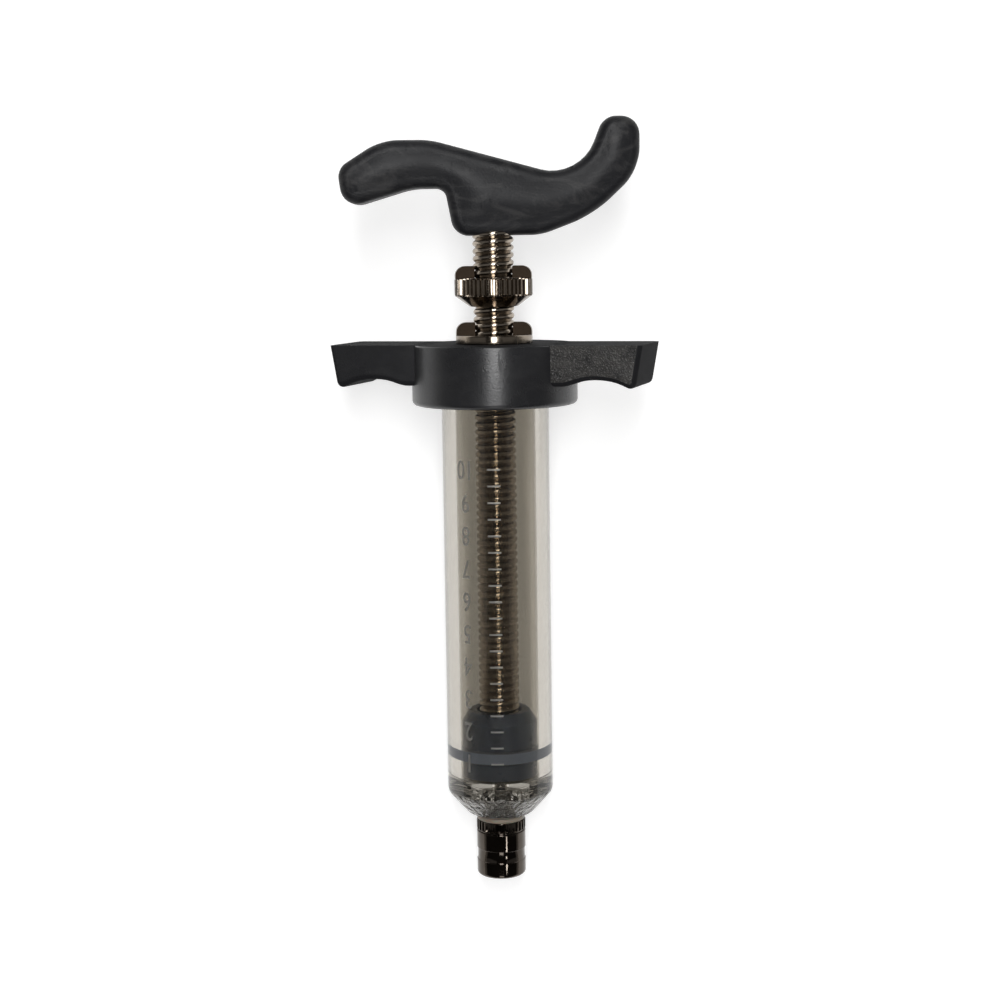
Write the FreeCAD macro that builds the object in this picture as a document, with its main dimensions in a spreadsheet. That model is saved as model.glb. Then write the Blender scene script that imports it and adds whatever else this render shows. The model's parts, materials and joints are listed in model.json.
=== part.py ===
import FreeCAD, Part

import math
import os
import re

import Sketcher

# Veterinary syringe, millimetres and degrees, lying as it comes to rest.
# Each piece is drawn in the syringe's own frame: the axis is Z, the needle end is at zero, the finger
# wings point along X and the side that faces up when it lies is -Y. One pose then lays it on the table.

SIZES = [
    # Fits
    ("running_play", 0.05, "radial play of threads and running fits"),
    ("swivel_play", 0.2, "end play of the rod in the piston"),
    # Needle hub, a metal Luer lock screwed into the barrel
    ("hub_diameter", 9.1, "outside of the locking collar"),
    ("hub_length", 10.6, "collar from its open end to the gasket"),
    ("hub_end_fillet", 0.9, "rounding of the open end"),
    ("hub_knurl_height", 1.8, "toothed band next to the barrel"),
    ("hub_groove_height", 0.4, "groove under the toothed band"),
    ("hub_groove_depth", 0.35, "depth of that groove"),
    ("hub_waist_low", 3.0, "start of the slightly turned down zone"),
    ("hub_waist_high", 5.2, "end of the slightly turned down zone"),
    ("hub_waist_depth", 0.15, "depth of that zone"),
    ("collar_bore", 7.2, "inside of the locking collar, at its thread's crests"),
    ("collar_depth", 7.2, "depth of the locking collar"),
    ("cone_recess", 0.4, "male cone ends this far inside the collar"),
    ("cone_tip_diameter", 3.95, "tip of the male cone"),
    ("cone_root_diameter", 4.35, "root of the male cone"),
    ("passage_diameter", 2.2, "fluid passage"),
    ("stem_diameter", 7.0, "threaded stem in the barrel"),
    ("stem_length", 6.6, "length of that stem above the collar"),
    ("stem_end_gap", 0.3, "room above the stem in its hole"),
    # Gasket between hub and barrel
    ("hub_gasket_thickness", 0.9, "flat sealing ring"),
    ("hub_gasket_diameter", 8.9, "flat sealing ring"),
    # Barrel
    ("barrel_diameter", 19.6, "outside"),
    ("bore_diameter", 14.6, "inside"),
    ("neck_diameter", 9.8, "foot of the shoulder"),
    ("shoulder_height", 4.9, "sloped shoulder"),
    ("shoulder_fillet", 1.8, "rounding where shoulder meets tube"),
    ("floor_thickness", 7.7, "from the neck face to the floor of the bore"),
    ("barrel_length", 84.5, "from the neck face to the open end"),
    ("collar_diameter", 21.2, "threaded collar at the open end"),
    ("collar_height", 5.1, "height of that collar"),
    # Gasket under the cap
    ("cap_gasket_thickness", 1.0, "flat sealing ring"),
    ("cap_gasket_bore", 14.9, "flat sealing ring"),
    # Finger flange
    ("ring_diameter", 30.1, "round body"),
    ("ring_height", 11.0, "round body"),
    ("ring_fillet", 0.9, "rounding of its lower rim"),
    ("web_thickness", 2.2, "top plate of the flange"),
    ("wing_half_span", 29.1, "axis to wing tip"),
    ("wing_thickness", 16.8, "front to back"),
    ("wing_tip_height", 8.1, "depth of the tip"),
    ("wing_arch_height", 5.3, "depth at the finger arch"),
    ("wing_root_height", 7.3, "depth where it meets the ring"),
    ("wing_tip_slant", 1.6, "tip leans in towards its lower end"),
    ("wing_corner_fillet", 1.1, "rounding of the lower and upright edges"),
    # Guide bush in the flange
    ("bush_diameter", 14.0, "head"),
    ("bush_head_height", 1.6, "round part of the head"),
    ("bush_ear_height", 2.3, "two ears on the head"),
    ("bush_spigot_diameter", 10.0, "threaded spigot through the web"),
    ("bush_spigot_length", 2.0, "length of that spigot"),
    # Piston
    ("piston_diameter", 13.9, "both halves"),
    ("piston_gap", 0.3, "front face to the floor of the bore when pushed in"),
    ("front_half_height", 3.1, "front half up to the seal"),
    ("seal_height", 2.5, "sealing ring"),
    ("seal_bore", 10.2, "sealing ring"),
    ("spigot_diameter", 10.0, "spigot of the front half"),
    ("spigot_overlap", 1.5, "spigot's reach into the rear half"),
    ("pocket_diameter", 7.6, "pocket for the screw head"),
    ("pocket_depth", 3.2, "depth of the pocket below the spigot's foot level"),
    ("rear_web_thickness", 2.1, "web that carries the rod's journal"),
    ("rear_side_height", 4.8, "rear half's straight side"),
    ("rear_chamfer_height", 1.8, "bevel at the back"),
    ("rear_chamfer_width", 1.35, "bevel at the back"),
    ("cup_diameter", 8.3, "cup round the rod"),
    # Rod with its end screw
    ("rod_diameter", 7.5, "outside of the thread"),
    ("journal_diameter", 5.0, "journal that turns in the piston"),
    ("screw_diameter", 3.0, "end screw's shank"),
    ("screw_length", 7.0, "end screw's shank"),
    ("screw_head_diameter", 5.4, "end screw's head"),
    ("screw_head_height", 1.7, "end screw's head"),
    ("screw_slot_width", 0.8, "driver slot"),
    ("screw_slot_depth", 0.8, "driver slot"),
    ("washer_diameter", 6.8, "end washer"),
    ("washer_thickness", 0.8, "end washer"),
    # Dose nut
    ("nut_diameter", 14.1, "toothed band"),
    ("nut_gap", 2.8, "nut's cone to the bush's ears as it stands"),
    ("nut_cone_height", 1.95, "cone below the band"),
    ("nut_cone_diameter", 8.8, "small end of that cone"),
    ("nut_band_height", 3.15, "toothed band"),
    ("nut_ear_height", 2.2, "two ears above the band"),
    ("ear_thickness", 3.4, "ears of nut and bush between their flats"),
    ("ear_fillet", 1.7, "rounding of the ears' outer corners"),
    # Handle
    ("handle_gap", 5.4, "dose nut's ears to the handle's foot as it stands"),
    ("palm_thickness", 13.6, "front to back at the left tip"),
    ("horn_thickness", 7.8, "front to back at the right side"),
    ("handle_edge_fillet", 2.8, "rounding of both outlines"),
    ("socket_depth", 10.5, "rod in the handle"),
    ("hub_half_width", 6.9, "handle's foot, left of the axis"),
    ("left_reach", 27.5, "axis to the left tip"),
    ("left_top", 17.0, "foot to the top of the left arm"),
    ("left_under", 8.5, "foot to the underside of the left arm"),
    ("left_drop", 4.9, "foot to the lowest point of the left tip"),
    ("saddle_height", 9.7, "foot to the saddle's corner"),
    ("saddle_reach", 15.7, "axis to the saddle's corner"),
    ("right_reach", 26.5, "axis to the right side"),
    ("right_top", 20.9, "foot to the top of the right horn"),
    ("horn_width", 6.4, "right horn at the top"),
    ("foot_reach", 8.8, "handle's foot, right of the axis"),
]

# Levels along the axis and other values that follow from the sizes above
DERIVED = {
    "hub_radius": "hub_diameter / 2",
    "rod_radius": "rod_diameter / 2",
    "rod_hole_radius": "rod_radius + running_play",
    "barrel_foot": "hub_length + hub_gasket_thickness",
    "bore_floor": "barrel_foot + floor_thickness",
    "barrel_top": "barrel_foot + barrel_length",
    "cap_gasket_top": "barrel_top + cap_gasket_thickness",
    "flange_top": "cap_gasket_top + web_thickness",
    "ring_bottom": "flange_top - ring_height",
    "ring_radius": "ring_diameter / 2",
    "cap_bore_radius": "collar_diameter / 2 + running_play",
    "stem_top": "hub_length + stem_length",
    "piston_face": "bore_floor + piston_gap",
    "seal_foot": "piston_face + front_half_height",
    "rear_foot": "seal_foot + seal_height",
    "spigot_top": "rear_foot + spigot_overlap",
    "rear_web_top": "spigot_top + rear_web_thickness",
    "rear_rim": "rear_foot + rear_side_height",
    "rear_top": "rear_rim + rear_chamfer_height",
    "rod_shoulder": "rear_web_top + running_play",
    "journal_end": "spigot_top - swivel_play",
    "washer_foot": "journal_end - washer_thickness",
    "screw_foot": "washer_foot - screw_head_height",
    "pocket_floor": "rear_foot - pocket_depth",
    "ears_foot": "flange_top + bush_head_height",
    "bush_top": "ears_foot + bush_ear_height",
    "nut_foot": "bush_top + nut_gap",
    "nut_band_foot": "nut_foot + nut_cone_height",
    "nut_band_top": "nut_band_foot + nut_band_height",
    "nut_top": "nut_band_top + nut_ear_height",
    "handle_foot": "nut_top + handle_gap",
    "rod_top": "handle_foot + socket_depth",
    "wing_foot": "flange_top - wing_tip_height",
}

doc = FreeCAD.newDocument("veterinary_syringe")
sheet = doc.addObject("Spreadsheet::Sheet", "sizes")
for row, (alias, number, note) in enumerate(SIZES, start=1):
    sheet.set(f"A{row}", alias)
    sheet.set(f"B{row}", str(number))
    sheet.set(f"C{row}", note)
    sheet.setAlias(f"B{row}", alias)
doc.recompute()

NAME = re.compile(r"[a-z_]+")


def expand(text):
    """Write an expression in the sheet's own names, with the derived values worked in."""
    def swap(found):
        word = found.group(0)
        if word in DERIVED:
            return "(" + expand(DERIVED[word]) + ")"
        return "sizes." + word
    return NAME.sub(swap, text)


def value(text):
    """The number that an expression comes to."""
    return float(sheet.evalExpression(expand(text).replace("sizes.", "")))


def new_body(label):
    """A body for one sub-part."""
    body = doc.addObject("PartDesign::Body", label)
    body.Label = label
    return body


def new_sketch(body, name, role):
    """An empty sketch on one of the body's origin planes."""
    sketch = body.newObject("Sketcher::SketchObject", name)
    plane = [item for item in body.Origin.OriginFeatures if item.Role == role][0]
    sketch.AttachmentSupport = (plane, [""])
    sketch.MapMode = "FlatFace"
    return sketch


def draw_loop(sketch, corners):
    """A closed loop of straight lines through corners given as pairs of expressions."""
    first = sketch.GeometryCount
    points = [FreeCAD.Vector(value(across), value(up), 0) for across, up in corners]
    count = len(points)
    for index in range(count):
        sketch.addGeometry(Part.LineSegment(points[index], points[(index + 1) % count]), False)
    for index in range(count):
        following = first + (index + 1) % count
        sketch.addConstraint(Sketcher.Constraint("Coincident", first + index, 2, following, 1))
    for index, (across, up) in enumerate(corners):
        for kind, text, number in (("DistanceX", across, points[index].x), ("DistanceY", up, points[index].y)):
            place = sketch.addConstraint(Sketcher.Constraint(kind, -1, 1, first + index, 1, number))
            if NAME.search(text):
                sketch.setExpression(f"Constraints[{place}]", expand(text))


def draw_rounded_loop(sketch, corners):
    """A closed loop of lines and tangent arcs: each corner is across, up and its radius."""
    count = len(corners)
    spots = [FreeCAD.Vector(across, up, 0) for across, up, radius in corners]
    arcs = []
    for index, (across, up, radius) in enumerate(corners):
        spot = spots[index]
        back = (spots[index - 1] - spot).normalize()
        ahead = (spots[(index + 1) % count] - spot).normalize()
        half = back.getAngle(ahead) / 2
        reach = radius / math.tan(half)
        middle = spot + (back + ahead).normalize() * (radius / math.sin(half) - radius)
        arcs.append((spot + back * reach, middle, spot + ahead * reach))
    for index, (start, middle, end) in enumerate(arcs):
        sketch.addGeometry(Part.Arc(start, middle, end), False)
        following = arcs[(index + 1) % count][0]
        sketch.addGeometry(Part.LineSegment(end, following), False)


def turn(body, name, corners, feature="Revolution"):
    """A full turn of a half section about the axis, added or, as a Groove, cut away."""
    sketch = new_sketch(body, name + "_section", "XZ_Plane")
    draw_loop(sketch, corners)
    shape = body.newObject("PartDesign::" + feature, name)
    shape.Profile = sketch
    shape.ReferenceAxis = (sketch, ["V_Axis"])
    shape.Angle = 360
    doc.recompute()
    return shape


def slab(body, name, sketch, length, feature="Pad"):
    """A sketch carried the same way to both sides of its plane, added or, as a Pocket, cut away."""
    shape = body.newObject("PartDesign::" + feature, name)
    shape.Profile = sketch
    shape.SideType = "Symmetric"
    shape.setExpression("Length", expand(length))
    doc.recompute()
    return shape


def round_edges(body, name, radius, wanted):
    """A fillet on those edges of the body's tip that pass the test."""
    base = body.Tip
    names = [f"Edge{place}" for place, edge in enumerate(base.Shape.Edges, start=1) if wanted(edge)]
    fillet = body.newObject("PartDesign::Fillet", name)
    fillet.Base = (base, names)
    fillet.setExpression("Radius", expand(radius))
    doc.recompute()
    return fillet


def is_ring(edge, radius, level):
    """True for a full circle of that radius round the axis at that level."""
    if edge.Degenerated or not isinstance(edge.Curve, Part.Circle):
        return False
    return abs(edge.Curve.Radius - radius) < 0.001 and abs(edge.Curve.Center.z - level) < 0.001


def cut_flats(body, name, low, high, width):
    """Mill two flats, front and back, so that only two ears stay between the levels."""
    sketch = new_sketch(body, name + "_outline", "YZ_Plane")
    draw_loop(sketch, [("ear_thickness / 2", low), (width, low), (width, high), ("ear_thickness / 2", high)])
    draw_loop(sketch, [("-ear_thickness / 2", low), ("-ear_thickness / 2", high),
                       ("-" + width, high), ("-" + width, low)])
    return slab(body, name, sketch, width + " * 4", "Pocket")


# Needle hub

hub = new_body("needle_hub")
turn(hub, "hub_solid", [
    ("passage_diameter / 2", "cone_recess"),
    ("cone_tip_diameter / 2", "cone_recess"),
    ("cone_root_diameter / 2", "collar_depth"),
    ("collar_bore / 2", "collar_depth"),
    ("collar_bore / 2", "0"),
    ("hub_radius", "0"),
    ("hub_radius", "hub_waist_low"),
    ("hub_radius - hub_waist_depth", "hub_waist_low"),
    ("hub_radius - hub_waist_depth", "hub_waist_high"),
    ("hub_radius", "hub_waist_high"),
    ("hub_radius", "hub_length - hub_knurl_height - hub_groove_height"),
    ("hub_radius - hub_groove_depth", "hub_length - hub_knurl_height - hub_groove_height"),
    ("hub_radius - hub_groove_depth", "hub_length - hub_knurl_height"),
    ("hub_radius", "hub_length - hub_knurl_height"),
    ("hub_radius", "hub_length"),
    ("stem_diameter / 2", "hub_length"),
    ("stem_diameter / 2", "stem_top"),
    ("passage_diameter / 2", "stem_top"),
])
round_edges(hub, "hub_rounding", "hub_end_fillet",
            lambda edge: is_ring(edge, value("hub_radius"), 0.0))

hub_gasket = new_body("hub_gasket")
turn(hub_gasket, "hub_gasket_ring", [
    ("stem_diameter / 2 + running_play", "hub_length"),
    ("hub_gasket_diameter / 2", "hub_length"),
    ("hub_gasket_diameter / 2", "barrel_foot"),
    ("stem_diameter / 2 + running_play", "barrel_foot"),
])

# Barrel with its threaded collar and the hole for the hub's stem

barrel = new_body("barrel")
turn(barrel, "barrel_tube", [
    ("stem_diameter / 2 + running_play", "barrel_foot"),
    ("neck_diameter / 2", "barrel_foot"),
    ("barrel_diameter / 2", "barrel_foot + shoulder_height"),
    ("barrel_diameter / 2", "barrel_top - collar_height"),
    ("collar_diameter / 2", "barrel_top - collar_height"),
    ("collar_diameter / 2", "barrel_top"),
    ("bore_diameter / 2", "barrel_top"),
    ("bore_diameter / 2", "bore_floor"),
    ("passage_diameter / 2", "bore_floor"),
    ("passage_diameter / 2", "stem_top + stem_end_gap"),
    ("stem_diameter / 2 + running_play", "stem_top + stem_end_gap"),
])
round_edges(barrel, "shoulder_rounding", "shoulder_fillet",
            lambda edge: is_ring(edge, value("barrel_diameter / 2"), value("barrel_foot + shoulder_height")))

cap_gasket = new_body("cap_gasket")
turn(cap_gasket, "cap_gasket_ring", [
    ("cap_gasket_bore / 2", "barrel_top"),
    ("collar_diameter / 2", "barrel_top"),
    ("collar_diameter / 2", "cap_gasket_top"),
    ("cap_gasket_bore / 2", "cap_gasket_top"),
])

# Finger flange: two wings with a finger arch under each, a round body, and its bores

flange = new_body("finger_flange")
wing_sketch = new_sketch(flange, "wing_outline", "XZ_Plane")
wing_top = value("flange_top")
half_span = value("wing_half_span")
tip_foot = half_span - value("wing_tip_slant")
wing_reach = tip_foot - value("ring_radius")
wing_side = [
    (value("ring_radius"), wing_top - value("wing_root_height"), wing_reach * 0.4),
    (value("ring_radius") + wing_reach / 2, wing_top - value("wing_arch_height"), wing_reach * 0.85),
    (tip_foot, value("wing_foot"), 1.2),
    (half_span, wing_top, 0.5),
]
mirrored = [(-across, up, radius) for across, up, radius in reversed(wing_side)]
draw_rounded_loop(wing_sketch, wing_side + mirrored)
slab(flange, "wings", wing_sketch, "wing_thickness")
round_edges(flange, "wing_corners", "wing_corner_fillet", lambda edge: (
    abs(abs(edge.CenterOfMass.y) - value("wing_thickness / 2")) < 0.01
    and abs(edge.CenterOfMass.x) > tip_foot - 1.2
    or abs(abs(edge.CenterOfMass.y) - value("wing_thickness / 2")) < 0.01
    and edge.CenterOfMass.z < wing_top - 1.0
    and abs(edge.CenterOfMass.x) > value("ring_radius")))
turn(flange, "ring", [
    ("0", "ring_bottom"),
    ("ring_radius", "ring_bottom"),
    ("ring_radius", "flange_top"),
    ("0", "flange_top"),
])
round_edges(flange, "ring_rim", "ring_fillet",
            lambda edge: is_ring(edge, value("ring_radius"), value("ring_bottom")))
turn(flange, "flange_bores", [
    ("0", "ring_bottom"),
    ("cap_bore_radius", "ring_bottom"),
    ("cap_bore_radius", "cap_gasket_top"),
    ("bush_spigot_diameter / 2 + running_play", "cap_gasket_top"),
    ("bush_spigot_diameter / 2 + running_play", "flange_top"),
    ("0", "flange_top"),
], "Groove")

# Guide bush

bush = new_body("guide_bush")
turn(bush, "bush_solid", [
    ("rod_hole_radius", "flange_top - bush_spigot_length"),
    ("bush_spigot_diameter / 2", "flange_top - bush_spigot_length"),
    ("bush_spigot_diameter / 2", "flange_top"),
    ("bush_diameter / 2", "flange_top"),
    ("bush_diameter / 2", "bush_top"),
    ("rod_hole_radius", "bush_top"),
])
round_edges(bush, "bush_rounding", "ear_fillet",
            lambda edge: is_ring(edge, value("bush_diameter / 2"), value("bush_top")))
cut_flats(bush, "bush_flats", "ears_foot", "bush_top", "bush_diameter")

# Piston halves and seal

piston_front = new_body("piston_front")
turn(piston_front, "front_half", [
    ("0", "piston_face"),
    ("piston_diameter / 2", "piston_face"),
    ("piston_diameter / 2", "seal_foot"),
    ("spigot_diameter / 2", "seal_foot"),
    ("spigot_diameter / 2", "spigot_top"),
    ("pocket_diameter / 2", "spigot_top"),
    ("pocket_diameter / 2", "pocket_floor"),
    ("0", "pocket_floor"),
])

piston_seal = new_body("piston_seal")
turn(piston_seal, "seal_ring", [
    ("seal_bore / 2", "seal_foot"),
    ("bore_diameter / 2 - running_play", "seal_foot"),
    ("bore_diameter / 2 - running_play", "rear_foot"),
    ("seal_bore / 2", "rear_foot"),
])

piston_rear = new_body("piston_rear")
turn(piston_rear, "rear_half", [
    ("spigot_diameter / 2 + running_play", "rear_foot"),
    ("piston_diameter / 2", "rear_foot"),
    ("piston_diameter / 2", "rear_rim"),
    ("piston_diameter / 2 - rear_chamfer_width", "rear_top"),
    ("cup_diameter / 2", "rear_top"),
    ("cup_diameter / 2", "rear_web_top"),
    ("journal_diameter / 2 + running_play", "rear_web_top"),
    ("journal_diameter / 2 + running_play", "spigot_top"),
    ("spigot_diameter / 2 + running_play", "spigot_top"),
])

# Rod, with its journal and tapped end, and what holds it in the piston

rod = new_body("piston_rod")
turn(rod, "rod_solid", [
    ("screw_diameter / 2 + running_play", "journal_end"),
    ("journal_diameter / 2", "journal_end"),
    ("journal_diameter / 2", "rod_shoulder"),
    ("rod_radius", "rod_shoulder"),
    ("rod_radius", "rod_top"),
    ("0", "rod_top"),
    ("0", "journal_end + screw_length"),
    ("screw_diameter / 2 + running_play", "journal_end + screw_length"),
])

washer = new_body("rod_washer")
turn(washer, "washer_ring", [
    ("screw_diameter / 2 + running_play", "washer_foot"),
    ("washer_diameter / 2", "washer_foot"),
    ("washer_diameter / 2", "journal_end"),
    ("screw_diameter / 2 + running_play", "journal_end"),
])

screw = new_body("rod_end_screw")
turn(screw, "screw_solid", [
    ("0", "screw_foot"),
    ("screw_head_diameter / 2", "screw_foot"),
    ("screw_head_diameter / 2", "washer_foot"),
    ("screw_diameter / 2", "washer_foot"),
    ("screw_diameter / 2", "washer_foot + screw_length"),
    ("0", "washer_foot + screw_length"),
])
slot_sketch = new_sketch(screw, "slot_outline", "XZ_Plane")
draw_loop(slot_sketch, [
    ("-screw_slot_width / 2", "screw_foot"),
    ("screw_slot_width / 2", "screw_foot"),
    ("screw_slot_width / 2", "screw_foot + screw_slot_depth"),
    ("-screw_slot_width / 2", "screw_foot + screw_slot_depth"),
])
slab(screw, "screw_slot", slot_sketch, "screw_head_diameter * 2", "Pocket")

# Dose nut

nut = new_body("dose_nut")
turn(nut, "nut_solid", [
    ("rod_hole_radius", "nut_foot"),
    ("nut_cone_diameter / 2", "nut_foot"),
    ("nut_diameter / 2", "nut_band_foot"),
    ("nut_diameter / 2", "nut_top"),
    ("rod_hole_radius", "nut_top"),
])
round_edges(nut, "nut_rounding", "ear_fillet",
            lambda edge: is_ring(edge, value("nut_diameter / 2"), value("nut_top")))
cut_flats(nut, "nut_flats", "nut_band_top", "nut_top", "nut_diameter")

# Handle: one S outline, with corners given from the axis and from the handle's foot, and their radii

handle = new_body("handle")
foot = value("handle_foot")
outline = [
    (-value("hub_half_width"), 0.0, 3.0),
    (-value("hub_half_width") - 1.6, value("left_under"), 2.0),
    (-value("left_reach") / 2 - 0.5, value("left_under"), 12.0),
    (-value("left_reach") + 0.9, value("left_drop"), 3.2),
    (-value("left_reach"), value("left_top") - 4.9, 2.8),
    (-value("left_reach") + 7.8, value("left_top"), 10.0),
    (-value("left_reach") + 16.5, value("left_top"), 14.0),
    (value("saddle_reach"), value("saddle_height"), 8.0),
    (value("right_reach") - value("horn_width"), value("right_top"), 3.0),
    (value("right_reach"), value("right_top"), 3.3),
    (value("right_reach"), value("right_top") - 9.6, 9.0),
    (value("right_reach") - 8.3, value("right_top") - 17.4, 20.0),
    (value("foot_reach"), 0.0, 10.0),
]
handle_sketch = new_sketch(handle, "handle_outline", "XZ_Plane")
draw_rounded_loop(handle_sketch, [(across, foot + up, radius) for across, up, radius in outline])
slab(handle, "handle_solid", handle_sketch, "palm_thickness * 2")
taper_sketch = new_sketch(handle, "handle_taper", "XY_Plane")
low_end = "-left_reach - 3"
high_end = "right_reach + 3"
palm_side = "(palm_thickness / 2 + (palm_thickness - horn_thickness) / 2 * 3 / (left_reach + right_reach))"
horn_side = "(horn_thickness / 2 - (palm_thickness - horn_thickness) / 2 * 3 / (left_reach + right_reach))"
draw_loop(taper_sketch, [(low_end, palm_side), (high_end, horn_side),
                         (high_end, "palm_thickness * 2"), (low_end, "palm_thickness * 2")])
draw_loop(taper_sketch, [(low_end, "-" + palm_side), (low_end, "-palm_thickness * 2"),
                         (high_end, "-palm_thickness * 2"), (high_end, "-" + horn_side)])
slab(handle, "handle_sides", taper_sketch, "(handle_foot + right_top + left_top) * 2", "Pocket")


def half_thickness(across):
    """Half of the handle's thickness at a distance from the axis."""
    share = (across + value("left_reach")) / value("left_reach + right_reach")
    return (value("palm_thickness") * (1 - share) + value("horn_thickness") * share) / 2


round_edges(handle, "handle_edges", "handle_edge_fillet",
            lambda edge: abs(abs(edge.CenterOfMass.y) - half_thickness(edge.CenterOfMass.x)) < 0.02)
turn(handle, "rod_socket", [
    ("0", "handle_foot - socket_depth"),
    ("rod_hole_radius", "handle_foot - socket_depth"),
    ("rod_hole_radius", "rod_top + running_play"),
    ("0", "rod_top + running_play"),
], "Groove")

# Pose: it lies on the rounded rim of the ring, the rounded end of the hub and one wing tip

bodies = [item for item in doc.Objects if item.TypeId == "PartDesign::Body"]


def resting_incline():
    """Incline of the axis when the rim of the ring and the end of the hub touch the table."""
    hub_fillet = value("hub_end_fillet")
    ring_fillet = value("ring_fillet")
    rise = value("ring_radius - ring_fillet - hub_radius + hub_end_fillet")
    run = value("ring_bottom + ring_fillet - hub_end_fillet")
    return math.atan2(rise, run) + math.asin((ring_fillet - hub_fillet) / math.hypot(rise, run))


def resting_roll(incline):
    """Roll of the flange about the axis when one wing tip touches the table as well."""
    table = -value("hub_radius - hub_end_fillet") * math.cos(incline)
    table += value("hub_end_fillet") * (math.sin(incline) - 1.0)
    wing_points = [point for point in flange.Shape.tessellate(0.01)[0] if point.x < -value("ring_radius")]
    least = 0.0
    most = math.radians(45)
    for step in range(40):
        middle = (least + most) / 2
        lowest = min((point.x * math.sin(middle) - point.y * math.cos(middle)) * math.cos(incline)
                     + point.z * math.sin(incline) for point in wing_points)
        if lowest > table:
            least = middle
        else:
            most = middle
    return least


incline = math.degrees(resting_incline())
roll = math.degrees(resting_roll(math.radians(incline)))
lay_down = FreeCAD.Rotation(FreeCAD.Vector(1, 0, 0), incline - 90)
roll_over = FreeCAD.Rotation(FreeCAD.Vector(0, 0, 1), -roll)
ROLLED = ("finger_flange",)


def place(body, shift):
    """Lay one body down, with the roll that the finger flange takes, and shift it."""
    rotation = lay_down.multiply(roll_over) if body.Label in ROLLED else lay_down
    body.Placement = FreeCAD.Placement(shift, rotation)


for body in bodies:
    place(body, FreeCAD.Vector(0, 0, 0))
doc.recompute()

lows = [math.inf, math.inf, math.inf]
highs = [-math.inf, -math.inf, -math.inf]
for body in bodies:
    for point in body.Shape.tessellate(0.02)[0]:
        for axis, number in enumerate(point):
            lows[axis] = min(lows[axis], number)
            highs[axis] = max(highs[axis], number)
shift = FreeCAD.Vector(-(lows[0] + highs[0]) / 2, -(lows[1] + highs[1]) / 2, -lows[2])
for body in bodies:
    place(body, shift)
doc.recompute()

# Check and write

for item in doc.Objects:
    if "Invalid" in item.State or "Error" in item.State:
        raise RuntimeError(f"{item.Label} failed: {item.State}")
for body in bodies:
    if body.Shape.isNull() or not body.Shape.isValid():
        raise RuntimeError(f"{body.Label} has no valid shape")

os.makedirs("parts", exist_ok=True)
for body in bodies:
    body.Shape.exportStep(f"parts/{body.Label}.step")
    print(body.Label, len(body.Shape.Solids), round(body.Shape.Volume, 1))
print("incline", round(incline, 6), "roll", round(roll, 4))
print("size", [round(high - low, 2) for low, high in zip(lows, highs)])
print("shift", round(shift.x, 5), round(shift.y, 5), round(shift.z, 5))
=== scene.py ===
"""Looks of a veterinary syringe: clear graduated barrel, threaded rod, dose nut and palm handle.

Lengths in the pieces are millimetres in the syringe's own frame, whose Z runs from the needle hub
to the handle, whose X runs along the finger wings and whose -Y faces up as the syringe lies.
"""

import json
import logging
import math
from dataclasses import dataclass
from enum import Enum

import bmesh
import bpy
from mathutils import Matrix, Vector
from mathutils.geometry import intersect_point_line

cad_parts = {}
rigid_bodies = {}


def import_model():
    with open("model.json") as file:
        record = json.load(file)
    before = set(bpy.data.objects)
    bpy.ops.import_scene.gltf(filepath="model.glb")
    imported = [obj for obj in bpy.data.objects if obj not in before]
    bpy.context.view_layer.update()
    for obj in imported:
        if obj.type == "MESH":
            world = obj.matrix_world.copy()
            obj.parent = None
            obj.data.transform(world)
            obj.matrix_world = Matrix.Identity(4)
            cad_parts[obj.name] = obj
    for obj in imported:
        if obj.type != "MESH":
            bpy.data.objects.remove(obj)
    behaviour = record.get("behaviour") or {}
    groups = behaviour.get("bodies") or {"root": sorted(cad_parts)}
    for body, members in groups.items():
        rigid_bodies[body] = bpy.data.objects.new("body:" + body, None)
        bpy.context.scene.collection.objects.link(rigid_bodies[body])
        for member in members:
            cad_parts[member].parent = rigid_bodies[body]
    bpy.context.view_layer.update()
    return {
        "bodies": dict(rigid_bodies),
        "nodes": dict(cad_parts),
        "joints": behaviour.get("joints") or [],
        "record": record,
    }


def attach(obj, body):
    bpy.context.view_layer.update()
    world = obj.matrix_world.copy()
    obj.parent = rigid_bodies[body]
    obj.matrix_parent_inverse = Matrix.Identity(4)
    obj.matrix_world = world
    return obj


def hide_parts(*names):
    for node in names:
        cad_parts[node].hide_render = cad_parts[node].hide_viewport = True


LOG = logging.getLogger("veterinary_syringe")
MM = 0.001
SHARP = math.radians(32.0)
RIM_ANGLE = math.radians(60.0)
FACING = 0.9
BROADSIDE = 0.98
FACETS_PER_TOOTH = 4
SMALL_REACH = 1.0
THREAD_FLANK = ((0.0, 0.0), (0.12, 0.05), (0.42, 0.13), (0.74, 0.22), (0.93, 0.32), (1.0, 0.43))
PLASTIC_IOR = 1.5
# Pale colour of the smears and of the painted sparkle.
SMEAR_AND_SPARKLE_COLOUR = (0.3, 0.29, 0.28, 1.0)


class Body(Enum):
    """The bodies that pieces ride on."""

    BARREL = "barrel_assembly"
    PISTON = "piston_assembly"
    ROD = "rod_assembly"
    DOSE_STOP = "dose_stop"


class Slot(Enum):
    """The record's material slots."""

    NYLON = "charcoal_nylon"
    CLEAR = "clear_plastic"
    METAL = "plated_metal"
    PISTON = "piston_plastic"
    SEAL = "seal_rubber"
    GASKET = "gasket_beige"


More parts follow.
